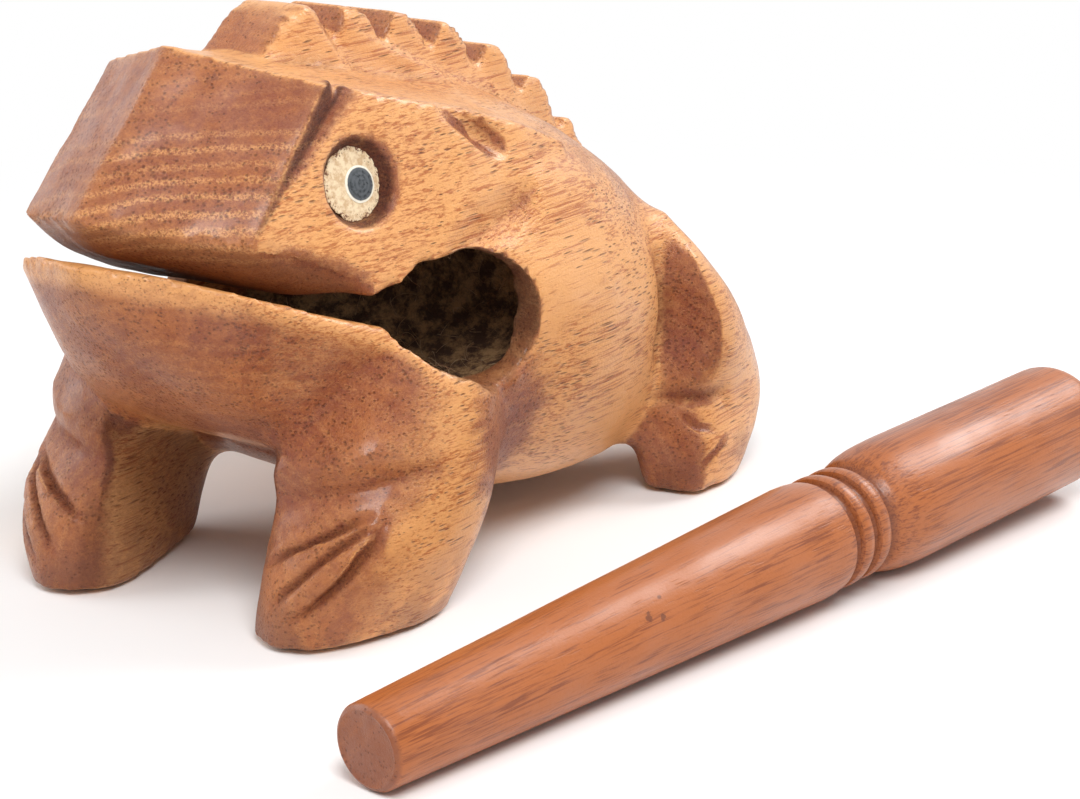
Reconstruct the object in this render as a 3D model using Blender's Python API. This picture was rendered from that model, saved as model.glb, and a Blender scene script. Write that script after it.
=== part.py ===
"""Frog guiro: a hollow frog carved from one block, with a notched rasp crest, and its turned scraper stick.

The frog looks along -Y with its left side at +X, and stands with the stick on the plane z = 0.
Lengths are millimetres, and every mesh is scaled to metres as it is made.
"""

import math

import bmesh
import bpy
import numpy as np
from mathutils import Matrix, Vector
from mathutils.bvhtree import BVHTree

MM = 0.001

# Head: the prow facets meet on a ridge, and the cheek planes start at their corners
PROW_TOP = (0.0, -45.0, 85.2)
PROW_FOOT = (0.0, -69.4, 60.8)
PROW_TOP_CORNER = (20.3, -34.3, 79.9)
PROW_LOW_CORNER = (21.3, -57.3, 56.0)
CHEEK_BACK = (34.5, -12.0, 40.0)
CHEEK_HALF_WIDTH = 37.2
BROW_HALF_WIDTH = 28.4
# The head's top behind the prow: y, the height of its middle line, and the height of its brow edge
CROWN = ((-12.0, 78.8, 73.8), (3.0, 75.6, 69.2), (16.0, 72.4, 64.4))
HEAD_END = (28.0, (0, 64), (22, 56), (30, 40), (0, 40))

# Trunk sections: y, then the (x, z) points of the left half from the back to the belly
TRUNK_SECTIONS = (
    (-26.0, (0, 58), (16, 56), (22, 50), (24, 42), (17, 25), (0, 19)),
    (-14.0, (0, 72), (22, 66), (31, 53), (34.3, 42), (26, 18), (0, 12)),
    (-2.0, (0, 74.5), (25.5, 67.5), (33.3, 54), (37, 40), (29, 14), (0, 8)),
    (10.0, (0, 74), (26.5, 65.5), (34.5, 52.5), (38.2, 38), (31, 12), (0, 5.5)),
    (24.0, (0, 70), (26, 61.5), (34, 49.5), (38, 36), (31, 10.5), (0, 4.5)),
    (40.0, (0, 63), (23, 55.5), (30.5, 45.5), (34.5, 33), (28, 10), (0, 5)),
    (56.0, (0, 52), (18, 46.5), (23.5, 38), (25.5, 29), (20, 12), (0, 8)),
    (68.0, (0, 38), (10, 36), (14, 31), (15, 26), (11, 16), (0, 13)),
    (73.0, (0, 29), (3, 28.5), (4, 27.5), (4, 26), (3, 24), (0, 23)),
)

# Lower jaw sections: y, then the middle of the lip, its rim, the scoop under it, the chin and the throat
JAW_SECTIONS = (
    (-66.5, (0, 59.5), (1.2, 59), (1.6, 57.4), (1.4, 56.8), (1.1, 56.3), (0.8, 56), (0, 55.8)),
    (-62.0, (0, 60.5), (9.3, 58.6), (9.9, 55.3), (8, 51.5), (6.5, 49.2), (4.5, 47.8), (0, 47)),
    (-55.0, (0, 58), (19.8, 56.2), (20.6, 52.2), (17.3, 46.5), (14.8, 42), (12, 38.2), (0, 36.6)),
    (-46.0, (0, 54), (23.9, 53), (25, 48.2), (21.6, 41.5), (19.2, 36.5), (16.5, 31.3), (0, 29.6)),
    (-36.0, (0, 50), (27.2, 48.5), (28.4, 43.8), (25, 36.8), (22.8, 31.5), (20.5, 26.5), (0, 24.6)),
    (-22.0, (0, 44), (32, 42), (33.4, 36.5), (30.5, 30.5), (28, 26), (25, 21.5), (0, 19.5)),
    (-6.0, (0, 42), (34, 38), (36, 32), (33, 28), (30, 24), (27, 20), (0, 18)),
)

# Front leg outlines: inner and outer height, then (x, y) from the inner edge round the toes and the outer rim
FRONT_LEG_OUTLINES = (
    (-2.0, -2.0, (13.2, -47), (20.3, -53.4), (27.5, -50.6), (33.4, -38), (33, -25), (22, -17), (15.5, -30)),
    (5.0, 5.0, (13.3, -46.5), (20.8, -52.9), (29, -50.2), (35.2, -38), (35.2, -22.5), (22.5, -14), (16, -29)),
    (11.0, 12.8, (13.8, -45), (21.5, -50.5), (30.5, -48.8), (36.4, -37), (36.8, -19), (24, -9), (17, -27)),
    (15.5, 18.2, (14.6, -43.4), (22.5, -47.6), (31, -45.6), (36.6, -34.5), (37, -16.5), (25, -6), (18, -25)),
    (19.5, 24.0, (15, -42.4), (23, -43.2), (30.4, -39.6), (36.2, -30), (37, -15.5), (25, -5), (18.5, -25)),
    (24.0, 30.0, (14.6, -43.4), (23.4, -45), (31, -40.8), (36.6, -28.8), (37, -15.5), (25, -5), (18.5, -25)),
    (30.0, 34.0, (17, -39.5), (25, -39.5), (31, -35.3), (36.3, -27), (36.4, -15.5), (25, -6), (20, -24)),
    (37.0, 38.5, (21, -35.5), (27, -37), (32, -32.5), (35.2, -25.5), (35, -15.5), (25, -9), (21, -24)),
    (44.0, 44.0, (24, -30.5), (28, -32), (31.8, -28.5), (33.3, -24), (33.2, -17), (26, -13), (24, -21)),
)

# Hind leg outlines: the same, from the inner front round the knee and the heel
HIND_LEG_OUTLINES = (
    (-2.0, -2.0, (30, 40), (36, 38.8), (41.5, 41), (41.5, 52), (35, 59), (28, 52)),
    (4.0, 4.0, (30, 38), (36.5, 37.5), (42.2, 41), (42.6, 56), (35, 66), (26, 58)),
    (10.0, 10.0, (30, 36), (37, 37), (42.2, 42), (42, 62), (34, 73.5), (24, 64)),
    (15.5, 15.5, (30, 35.5), (36, 38), (39.6, 44.5), (39.8, 62), (33, 74), (22, 64)),
    (20.0, 20.0, (30, 35), (36.5, 39), (42, 45), (41.2, 60), (33, 71), (22, 62)),
    (27.0, 27.0, (30, 36), (36.3, 43), (42.4, 46), (41, 56.5), (33, 66), (22, 58)),
    (34.0, 34.0, (30, 38), (35.6, 43.2), (40.8, 45), (40, 52), (32, 60), (22, 54)),
    (40.0, 40.0, (30, 40), (34.5, 42), (38.3, 44), (37.5, 49), (30, 55), (22, 50)),
    (44.0, 44.0, (30, 41.5), (33, 41.8), (35.6, 44), (35, 47.4), (29, 51), (24, 48)),
    (48.0, 48.0, (28, 42), (29.6, 42), (31.4, 43.8), (31.2, 46), (28, 48), (25, 47)),
)

# Cross hole, drilled from cheek to cheek, and the sound chamber behind the cheeks
HOLE_Y = -14.0
HOLE_Z = 42.5
HOLE_RADIUS = 10.0
CHAMBER_Y = -6.0
CHAMBER_RADIUS = 16.5
CHAMBER_HALF_WIDTH = 31.5
CHAMBER_SETBACK = 3.0

# Mouth slit, as (y, z) points of its roof and its floor. At its corner the lips turn away into the cross hole
MOUTH_ROOF = ((-66.6, 63.6), (-52.5, 59.0), (-38.5, 53.1), (-34.3, 49.9), (-28.7, 50.6), (-24.3, 52.2))
MOUTH_FLOOR = ((-66.6, 57.9), (-52.5, 53.0), (-42.0, 48.4), (-32.8, 45.0), (-28.3, 39.7), (-21.0, 35.4))
MOUTH_CORNER = 3
MOUTH_FRONT = -95.0
MOUTH_FLARE = (9.0, 4.0)
MOUTH_BACK = 9.5

# Eye: a drilled recess in each cheek, placed by its y and z
EYE_Y = -32.0
EYE_Z = 65.8
EYE_RADIUS = 7.0
EYE_FLOOR_RADIUS = 5.3
EYE_DEPTH = 2.8

# Crest: the rasp along the back
CREST_THICKNESS = 11.5
CREST_FLARE = 4.0
CREST_START = -31.0
CREST_FIRST_NOTCH = -13.0
CREST_PITCH = 13.0
CREST_TEETH = 7
CREST_LAST_TOOTH = 8.0
# Where a tooth has its peak, as a share of its length from the front
CREST_FIRST_PEAK = 0.62
CREST_PEAK = 0.3
# Peaks and notches along the back, as (y, z) points
CREST_PEAKS = ((-18, 88.2), (-6.5, 86.3), (6.5, 84), (19.5, 80.2), (32.5, 74.8), (45.5, 66.8), (56, 58.3))
CREST_NOTCHES = ((-31, 81.5), (-13, 81.4), (0, 79.8), (13, 76.8), (26, 72.2), (39, 65.8), (60, 52.5))
CREST_SINK = 12.0

# Notch between the prow and each cheek: its reach is a share of the prow's edge, its root of its width
SNOUT_NOTCH_REACH = 0.78
SNOUT_NOTCH_WIDTH = 7.0
SNOUT_NOTCH_DEPTH = 5.5
SNOUT_NOTCH_ROOT = 0.25
SNOUT_NOTCH_OVERRUN = 1.3

# Knife grooves on the left side: their points, which are set on the surface, then their width and depth
TEMPLE_GROOVE = (((32.2, 4, 61), (31.7, -6, 57), (30.4, -18, 52.8)), 8.0, 1.3)
BROW_GROOVE = (((25.8, -15.5, 75), (28.4, -6, 69), (29.5, -1, 65.5)), 4.2, 2.0)
INNER_TOE_GROOVE = (((31, -41, 18.5), (25.5, -46.5, 16), (17.5, -48, 11.5)), 2.4, 1.1)
MIDDLE_TOE_GROOVE = (((31.5, -41, 17.5), (27, -48, 13), (21, -51.5, 7)), 2.2, 1.0)
OUTER_TOE_GROOVE = (((33, -40.5, 18), (31, -46.5, 12), (25, -52, 5.5)), 2.8, 1.3)
HEEL_NICK = (((37.5, 39, 14.5), (39.8, 41, 12), (42, 44, 11.5)), 2.6, 1.1)
SOLE_NICK = (((40, 40, 5.5), (42.2, 43, 7.5), (42.6, 47, 9.5)), 2.4, 0.9)
GROOVE_LIFT = 0.3
GROOVE_STEPS = 5
GROOVE_SIDES = 10

# Stick: a turned scraper with a tapered shaft, a beaded neck and a fatter handle
STICK_LENGTH = 163.0
STICK_END_RADIUS = 6.1
STICK_NECK_RADIUS = 9.2
STICK_NECK_SLOPE = 5.0
STICK_HANDLE_RADIUS = 10.4
STICK_HANDLE_LENGTH = 61.0
STICK_HANDLE_FLARE = 12.0
STICK_BEAD_WIDTH = 4.3
STICK_GROOVE_DEPTH = 1.3
STICK_GROOVE_HALF_WIDTH = 0.7
STICK_END_BEVEL = 0.8
STICK_ROUNDING = 5.0
STICK_SIDES = 36
STICK_NEAR_END = (59.6, -82.1)
STICK_HEADING = 11.0

# Past every surface of the frog, for cutters that go right through it
REACH = 60.0

WOOD_COLOUR = (0.47, 0.19, 0.075, 1.0)
STICK_COLOUR = (0.39, 0.14, 0.045, 1.0)
WOOD_ROUGHNESS = 0.42
SHARP_ANGLE = 32.0


def spline(points, steps, corners=(), closed=False):
    """Hermite curve through the points, with steps pieces a span and a sharp corner at each corner index."""
    p = np.asarray(points, float)
    count = len(p)
    out = []
    for i in range(count if closed else count - 1):
        a, b = p[i], p[(i + 1) % count]
        before = p[i - 1] if closed or i > 0 else a
        after = p[(i + 2) % count] if closed or i + 2 < count else b
        start = b - a if i in corners else (b - before) / 2
        end = b - a if (i + 1) % count in corners else (after - a) / 2
        for k in range(steps):
            t = k / steps
            out.append(
                (2 * t**3 - 3 * t**2 + 1) * a
                + (t**3 - 2 * t**2 + t) * start
                + (3 * t**2 - 2 * t**3) * b
                + (t**3 - t**2) * end
            )
    if not closed:
        out.append(p[-1])
    return np.array(out)


def curve_value(knots, at):
    """Height of the smooth curve through (place, height) knots."""
    line = spline(knots, 12)
    return float(np.interp(at, line[:, 0], line[:, 1]))


def mesh_object(name, vertices, faces):
    """A closed mesh object with its faces turned outwards."""
    mesh = bpy.data.meshes.new(name)
    mesh.from_pydata([tuple(float(c) * MM for c in v) for v in vertices], [], faces)
    work = bmesh.new()
    work.from_mesh(mesh)
    bmesh.ops.remove_doubles(work, verts=work.verts, dist=0.01 * MM)
    bmesh.ops.recalc_face_normals(work, faces=work.faces)
    if work.calc_volume(signed=True) < 0:
        bmesh.ops.reverse_faces(work, faces=work.faces)
    work.to_mesh(mesh)
    work.free()
    obj = bpy.data.objects.new(name, mesh)
    bpy.context.scene.collection.objects.link(obj)
    return obj


def helper(obj):
    """Marks a form or cutter that a Boolean uses, so that it isn't a part of its own."""
    obj.hide_render = True
    obj.display_type = "WIRE"
    return obj


def loft(name, rings, around, along, corners=(), sharp_stations=(), closed_start=False):
    """Closed solid through rings of equal length. A first ring that lies on a line needs no cap."""
    drawn = np.array([spline(ring, around, corners, closed=True) for ring in rings])
    grid = spline(drawn.reshape(len(rings), -1), along, sharp_stations)
    grid = grid.reshape(len(grid), -1, 3)
    rows, columns = grid.shape[:2]
    faces = []
    for r in range(rows - 1):
        for c in range(columns):
            d = (c + 1) % columns
            faces.append((r * columns + c, r * columns + d, (r + 1) * columns + d, (r + 1) * columns + c))
    if not closed_start:
        faces.append(tuple(range(columns)))
    faces.append(tuple((rows - 1) * columns + c for c in range(columns)))
    return helper(mesh_object(name, grid.reshape(-1, 3), faces))


def both_sides(half):
    """Closed ring from its points with x >= 0, which run from the top to the bottom of the midline."""
    return list(half) + [(-x, y, z) for x, y, z in reversed(half[1:-1])]


def section(y, *points):
    """Closed ring in the plane at y from the (x, z) points of its left half."""
    return both_sides([(x, y, z) for x, z in points])


def outline(inner_height, outer_height, *points):
    """Closed ring from (x, y) points, which rises from its inner to its outer side."""
    inner = min(x for x, _ in points)
    outer = max(x for x, _ in points)
    slope = (outer_height - inner_height) / (outer - inner)
    return [(x, y, inner_height + slope * (x - inner)) for x, y in points]


def prism(name, sides, half_width, flares=None):
    """Solid with a (y, z) outline, from x = -half_width to half_width. Flares widen it point by point."""
    count = len(sides)
    flares = flares or [0.0] * count
    vertices = [(sign * (half_width + f), y, z) for sign in (-1, 1) for (y, z), f in zip(sides, flares)]
    faces = [tuple(range(count)), tuple(range(count, 2 * count))]
    faces += [(i, (i + 1) % count, (i + 1) % count + count, i + count) for i in range(count)]
    return helper(mesh_object(name, vertices, faces))


def turned(name, profile, sides):
    """Solid of revolution about Y from the (y, radius) points of its side."""
    angles = [2 * math.pi * k / sides for k in range(sides)]
    rows = len(profile)
    vertices = [(radius * math.cos(a), y, radius * math.sin(a)) for y, radius in profile for a in angles]
    faces = [tuple(range(sides)), tuple((rows - 1) * sides + k for k in range(sides))]
    for r in range(rows - 1):
        for k in range(sides):
            n = (k + 1) % sides
            faces.append((r * sides + k, r * sides + n, (r + 1) * sides + n, (r + 1) * sides + k))
    return mesh_object(name, vertices, faces)


def aimed(obj, place, direction):
    """Moves a turned solid's mesh so that its axis starts at place and runs along direction."""
    turn = Vector(direction).normalized().to_track_quat("Y", "Z").to_matrix().to_4x4()
    obj.data.transform(Matrix.Translation(Vector(place) * MM) @ turn)
    return helper(obj)


def gouge(name, skin, path, width, depth):
    """Round-bottomed groove that follows the skin along the path and fades out at both ends."""
    radius = (width**2 / 4 + depth**2) / (2 * depth)
    places = []
    line = spline(path, GROOVE_STEPS)
    for k, point in enumerate(line):
        where, normal, *_ = skin.find_nearest(Vector(point) * MM)
        share = math.sin(math.pi * k / (len(line) - 1)) ** 0.7
        sink = share * (depth + GROOVE_LIFT) - GROOVE_LIFT
        places.append((where / MM + normal * (radius - sink), normal))
    rings = []
    for k, (centre, normal) in enumerate(places):
        run = places[min(k + 1, len(places) - 1)][0] - places[max(k - 1, 0)][0]
        side = run.cross(normal).normalized()
        turns = [2 * math.pi * i / GROOVE_SIDES for i in range(GROOVE_SIDES)]
        rings.append([tuple(centre + radius * (math.cos(a) * normal + math.sin(a) * side)) for a in turns])
    return loft(name, rings, 1, 1)


def hull(name, points):
    """Convex solid round the points."""
    work = bmesh.new()
    for point in points:
        work.verts.new(Vector(point))
    bmesh.ops.convex_hull(work, input=work.verts)
    vertices = [tuple(v.co) for v in work.verts if v.link_faces]
    order = {v: i for i, v in enumerate(v for v in work.verts if v.link_faces)}
    faces = [tuple(order[v] for v in f.verts) for f in work.faces]
    work.free()
    return helper(mesh_object(name, vertices, faces))


def mirrored(obj):
    """Copy on the frog's right side."""
    mesh = obj.data.copy()
    mesh.transform(Matrix.Scale(-1, 4, (1, 0, 0)))
    mesh.flip_normals()
    other = bpy.data.objects.new(obj.name.replace("left", "right"), mesh)
    bpy.context.scene.collection.objects.link(other)
    return helper(other)


def combine(body, other, operation):
    """Adds a Boolean to the body."""
    change = body.modifiers.new(f"{operation.lower()} {other.name}", "BOOLEAN")
    change.operation = operation
    change.solver = "EXACT"
    change.object = other


def baked(body):
    """Gives the body the mesh that its Booleans make, and removes the forms and cutters."""
    bpy.context.view_layer.update()
    graph = bpy.context.evaluated_depsgraph_get()
    body.data = bpy.data.meshes.new_from_object(body.evaluated_get(graph))
    body.modifiers.clear()
    for obj in [o for o in bpy.data.objects if o.hide_render]:
        bpy.data.objects.remove(obj)
    return body


def finish(obj, slot, colour):
    """Smooth shading between sharp edges, and the piece's own wood."""
    obj.data.shade_smooth()
    obj.data.set_sharp_from_angle(angle=math.radians(SHARP_ANGLE))
    wood = bpy.data.materials.new(slot)
    wood.use_nodes = True
    shader = wood.node_tree.nodes["Principled BSDF"]
    shader.inputs["Base Color"].default_value = colour
    shader.inputs["Roughness"].default_value = WOOD_ROUGHNESS
    shader.inputs["Metallic"].default_value = 0.0
    obj.data.materials.clear()
    obj.data.materials.append(wood)


def cheek_normal():
    """Outward normal of the left cheek plane."""
    corner, low, back = Vector(PROW_TOP_CORNER), Vector(PROW_LOW_CORNER), Vector(CHEEK_BACK)
    return (low - corner).cross(back - corner).normalized()


def cheek_x(y, z):
    """Distance of the left cheek plane from the middle plane at y and z."""
    normal = cheek_normal()
    corner = Vector(PROW_TOP_CORNER)
    return corner.x - (normal.y * (y - corner.y) + normal.z * (z - corner.z)) / normal.x


def head_block():
    """Faceted head: two prow facets, two cheek planes and a gabled top that fades into the trunk."""
    top, foot = Vector(PROW_TOP), Vector(PROW_FOOT)
    ridge = both_sides([tuple(top.lerp(foot, k / 3)) for k in range(4)])
    rings = [ridge, both_sides([PROW_TOP, PROW_TOP_CORNER, PROW_LOW_CORNER, PROW_FOOT])]
    low = CHEEK_BACK[2]
    for y, crown, brow in CROWN:
        brow_width = min(cheek_x(y, brow), BROW_HALF_WIDTH)
        cheek_width = min(cheek_x(y, low), CHEEK_HALF_WIDTH)
        rings.append(section(y, (0, crown), (brow_width, brow), (cheek_width, low), (0, low)))
    rings.append(section(*HEAD_END))
    return loft("head_block", rings, 1, 1, closed_start=True)


def trunk():
    """Rounded trunk from the chest to the rump."""
    return loft("frog_body", [section(*row) for row in TRUNK_SECTIONS], 4, 3)


def lower_jaw():
    """Scooped lower jaw with a rim along its lip, from the point of the lip to the inside of the trunk."""
    return loft("lower_jaw", [section(*row) for row in JAW_SECTIONS], 3, 3, corners=(1, 2, 10, 11))


def front_leg():
    """Left front leg, lofted upwards from the sole over the toes and the wrist crease to the lip."""
    return loft("front_leg_left", [outline(*row) for row in FRONT_LEG_OUTLINES], 4, 2)


def hind_leg():
    """Left hind leg, lofted upwards from the sole over the ankle crease to the top of the folded thigh."""
    return loft("hind_leg_left", [outline(*row) for row in HIND_LEG_OUTLINES], 3, 2)


def crest():
    """Rasp crest: rounded teeth with V notches between them, on a base that flares into the back."""
    notches = [CREST_FIRST_NOTCH + CREST_PITCH * i for i in range(CREST_TEETH - 1)]
    edges = [CREST_START, *notches, notches[-1] + CREST_LAST_TOOTH]
    teeth = []
    for front, back in zip(edges, edges[1:]):
        low_front = curve_value(CREST_NOTCHES, front)
        low_back = curve_value(CREST_NOTCHES, back)
        peak = front + (back - front) * (CREST_FIRST_PEAK if front == CREST_START else CREST_PEAK)
        top = curve_value(CREST_PEAKS, peak)
        teeth.append((front, low_front))
        for part in (0.45, 0.75):
            height = 1 - (1 - part) ** 1.5
            teeth.append((front + part * (peak - front), low_front + (top - low_front) * height))
        teeth.append((peak, top))
        for part in (0.35, 0.62, 0.84):
            height = 1 - part**2.4
            teeth.append((peak + part * (back - peak), low_back + (top - low_back) * height))
    teeth.append((edges[-1], curve_value(CREST_NOTCHES, edges[-1])))
    base = [(y, curve_value(CREST_NOTCHES, y) - CREST_SINK) for y in np.linspace(edges[-1], CREST_START, 8)]
    flares = [0.0] * len(teeth) + [CREST_FLARE] * len(base)
    return prism("crest", teeth + base, CREST_THICKNESS / 2, flares)


def mouth_cutter():
    """Mouth slit with its roof and floor curves, closed at the back inside the cross hole."""
    roof_flare, floor_flare = MOUTH_FLARE
    roof = [(MOUTH_FRONT, MOUTH_ROOF[0][1] + roof_flare), *MOUTH_ROOF, (HOLE_Y, HOLE_Z + MOUTH_BACK)]
    floor = [(MOUTH_FRONT, MOUTH_FLOOR[0][1] + floor_flare), *MOUTH_FLOOR, (HOLE_Y, HOLE_Z - MOUTH_BACK)]
    corner = MOUTH_CORNER + 1
    upper, lower = (spline(line, 4, (corner,)) for line in (roof, floor))
    sides = [tuple(p) for p in upper] + [tuple(p) for p in lower][::-1]
    return prism("mouth_cutter", sides, REACH)


def circle(y, z, radius, sides):
    """(y, z) points of a circle."""
    angles = [2 * math.pi * k / sides for k in range(sides)]
    return [(y + radius * math.cos(a), z + radius * math.sin(a)) for a in angles]


def sound_chamber():
    """Hollow behind the cheeks: circles that shrink and move back towards each cheek."""
    rings = []
    for share, size in ((1.0, 0.55), (0.8, 0.85), (0.0, 1.0), (-0.8, 0.85), (-1.0, 0.55)):
        y = CHAMBER_Y + CHAMBER_SETBACK * (1.5 * abs(share) ** 3 - 0.3)
        ring = circle(y, HOLE_Z, CHAMBER_RADIUS * size, 12)
        rings.append([(CHAMBER_HALF_WIDTH * share, y, z) for y, z in ring])
    return loft("sound_chamber", rings, 2, 3)


def eye_cutter():
    """Drill for the left eye: a shallow recess with a tapered wall."""
    flare = (EYE_RADIUS - EYE_FLOOR_RADIUS) / EYE_DEPTH
    outside = EYE_RADIUS / 2
    profile = [(-EYE_DEPTH, EYE_FLOOR_RADIUS), (outside, EYE_RADIUS + flare * outside)]
    drill = turned("eye_cutter_left", profile, 36)
    return aimed(drill, (cheek_x(EYE_Y, EYE_Z), EYE_Y, EYE_Z), cheek_normal())


def snout_notch():
    """V notch behind the prow's left edge, which narrows to a point towards the lip."""
    top = Vector(PROW_TOP_CORNER)
    out = cheek_normal() * SNOUT_NOTCH_DEPTH
    tip = top.lerp(Vector(PROW_LOW_CORNER), SNOUT_NOTCH_REACH)
    back_y = top.y + SNOUT_NOTCH_WIDTH
    back = Vector((cheek_x(back_y, top.z), back_y, top.z))
    root = top - out + (back - top) * SNOUT_NOTCH_ROOT
    ends = [tip + (p - tip) * SNOUT_NOTCH_OVERRUN for p in (top + out, back + out, back, root)]
    return hull("snout_notch_left", [tip, *ends])


def ground_cutter():
    """Block under the floor plane that planes the soles flat."""
    front, back = -2 * REACH, 2 * REACH
    return prism("sole_plane", [(front, -REACH), (back, -REACH), (back, 0), (front, 0)], REACH)


def grooves(skin):
    """Knife grooves on the frog's left side."""
    cuts = {
        "temple_groove_left": TEMPLE_GROOVE,
        "brow_groove_left": BROW_GROOVE,
        "inner_toe_groove_left": INNER_TOE_GROOVE,
        "middle_toe_groove_left": MIDDLE_TOE_GROOVE,
        "outer_toe_groove_left": OUTER_TOE_GROOVE,
        "heel_nick_left": HEEL_NICK,
        "sole_nick_left": SOLE_NICK,
    }
    return [gouge(name, skin, *cut) for name, cut in cuts.items()]


def frog_body():
    """The carved frog: unioned forms, then the mouth, the hollow and the knife cuts."""
    body = trunk()
    body.hide_render = False
    body.display_type = "SOLID"
    limbs = [front_leg(), hind_leg()]
    for form in [head_block(), lower_jaw(), crest(), *limbs, *map(mirrored, limbs)]:
        combine(body, form, "UNION")
    combine(body, ground_cutter(), "DIFFERENCE")
    baked(body)
    skin = BVHTree.FromPolygons([v.co for v in body.data.vertices], [p.vertices for p in body.data.polygons])
    cuts = [eye_cutter(), snout_notch(), *grooves(skin)]
    hole = prism("cross_hole", circle(HOLE_Y, HOLE_Z, HOLE_RADIUS, 36), REACH)
    for cutter in [mouth_cutter(), hole, sound_chamber(), *cuts, *map(mirrored, cuts)]:
        combine(body, cutter, "DIFFERENCE")
    return baked(body)


def stick_profile():
    """(y, radius) points from the scraping end to the end of the handle."""
    handle = STICK_LENGTH - STICK_HANDLE_LENGTH
    groove = STICK_NECK_RADIUS - STICK_GROOVE_DEPTH
    bead = groove + STICK_GROOVE_DEPTH * 0.8
    lip = groove + STICK_GROOVE_DEPTH * 0.12
    first = handle - 2 * STICK_BEAD_WIDTH
    points = [(0.0, STICK_END_RADIUS - STICK_END_BEVEL), (STICK_END_BEVEL, STICK_END_RADIUS)]
    points += [(first - STICK_NECK_SLOPE, STICK_NECK_RADIUS), (first - 2 * STICK_GROOVE_HALF_WIDTH, bead)]
    for i in range(3):
        middle = first + i * STICK_BEAD_WIDTH
        points += [(middle - STICK_GROOVE_HALF_WIDTH, lip), (middle, groove)]
        points.append((middle + STICK_GROOVE_HALF_WIDTH, lip))
        if i < 2:
            points += [(middle + STICK_BEAD_WIDTH * k, bead) for k in (0.35, 0.65)]
    for share, height in ((0.15, 0.0), (0.42, 0.65), (1.0, 1.0)):
        points.append((handle + STICK_HANDLE_FLARE * share, bead + (STICK_HANDLE_RADIUS - bead) * height))
    for k in range(7):
        angle = math.radians(90 * k / 7)
        y = STICK_LENGTH - STICK_ROUNDING * (1 - math.sin(angle))
        points.append((y, STICK_HANDLE_RADIUS - STICK_ROUNDING * (1 - math.cos(angle))))
    return points


def scraper_stick():
    """The stick, lying on the edge of its scraping end and on its handle."""
    stick = turned("scraper_stick", stick_profile(), STICK_SIDES)
    lying_length = STICK_LENGTH - STICK_HANDLE_LENGTH + STICK_HANDLE_FLARE
    rise = math.asin((STICK_HANDLE_RADIUS - STICK_END_RADIUS) / lying_length)
    heading = Matrix.Rotation(-math.radians(STICK_HEADING), 4, "Z")
    height = STICK_END_RADIUS * math.cos(rise)
    place = Matrix.Translation(Vector((*STICK_NEAR_END, height)) * MM)
    stick.matrix_world = place @ heading @ Matrix.Rotation(rise, 4, "X")
    return stick


def main():
    for obj in list(bpy.data.objects):
        bpy.data.objects.remove(obj)
    pieces = [frog_body(), scraper_stick()]
    finish(pieces[0], "carved_wood", WOOD_COLOUR)
    finish(pieces[1], "turned_wood", STICK_COLOUR)
    bpy.context.view_layer.update()
    corners = np.array([obj.matrix_world @ v.co for obj in pieces for v in obj.data.vertices])
    middle = (corners.min(axis=0) + corners.max(axis=0)) / 2
    guiro_set = bpy.data.objects.new("guiro_set", None)
    bpy.context.scene.collection.objects.link(guiro_set)
    for obj in pieces:
        obj.parent = guiro_set
    guiro_set.location = (-middle[0], -middle[1], 0.0)


main()
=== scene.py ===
"""Frog guiro with its scraper stick: carved and turned tropical wood under satin varnish, on a pale floor."""

import math

import bmesh
import bpy
import numpy as np
from mathutils import Matrix, Vector, noise
from mathutils.bvhtree import BVHTree
from mathutils.kdtree import KDTree


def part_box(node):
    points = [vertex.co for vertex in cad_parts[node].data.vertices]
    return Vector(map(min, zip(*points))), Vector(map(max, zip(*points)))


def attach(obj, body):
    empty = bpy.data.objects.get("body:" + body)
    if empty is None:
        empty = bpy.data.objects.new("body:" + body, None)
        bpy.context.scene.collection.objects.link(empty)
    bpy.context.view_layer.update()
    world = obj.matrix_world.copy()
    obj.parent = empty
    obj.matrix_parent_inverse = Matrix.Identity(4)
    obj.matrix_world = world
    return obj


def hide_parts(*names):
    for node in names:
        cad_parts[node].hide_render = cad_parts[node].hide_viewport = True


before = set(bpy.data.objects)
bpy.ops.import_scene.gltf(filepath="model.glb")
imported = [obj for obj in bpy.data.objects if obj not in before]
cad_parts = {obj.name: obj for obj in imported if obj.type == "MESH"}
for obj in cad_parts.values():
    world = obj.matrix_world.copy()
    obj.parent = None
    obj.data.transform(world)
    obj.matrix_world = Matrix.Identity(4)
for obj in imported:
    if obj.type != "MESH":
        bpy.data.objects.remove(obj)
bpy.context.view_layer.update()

MM = 0.001

# The frog's own place: its middle plane and the y that its lip stands 66.6 mm in front of
FROG_LOW, FROG_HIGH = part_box("frog_body")
LIP_FRONT = 66.6
FROG = Vector(((FROG_LOW.x + FROG_HIGH.x) / 2, FROG_LOW.y + LIP_FRONT * MM, 0.0))

# Carving, in mm
GRID = 1.02
FINE_BAND = 1.1
SHARP_ANGLE = math.radians(28.0)
WELD_DISTANCE = 0.002
EDGE_STEP = 0.25
EDGE_SNAP = 0.2
CUT_STEP = 0.4
CUT_REACH = 1.6
HAND_WAVE = 0.26
GOUGE_ROUGHNESS = 0.16
# Depth of the grain's relief in the materials, in metres
CARVED_RELIEF = 0.00022
TURNED_RELIEF = 0.0001

# Rounds of smoothing: spreading the points evenly, melting the facets, rounding the limbs, sanding the edges
SPREAD_ROUNDS = 3
FACET_ROUNDS = 18
LIMB_ROUNDS = 70
SANDING_ROUNDS = 6
MELT = 0.55
# The limbs end at this height in front, and the hind legs stand this much higher
LIMB_TOP = 43.0
HIND_LEG_RISE = 30.0

# Hollow of the frog, in its own frame
HOLE_Y = -14.0
HOLE_Z = 42.5
HOLE_RADIUS = 10.0
CHAMBER_Y = -6.0
CHAMBER_RADIUS = 16.5
CHAMBER_HALF_WIDTH = 29.0

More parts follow.
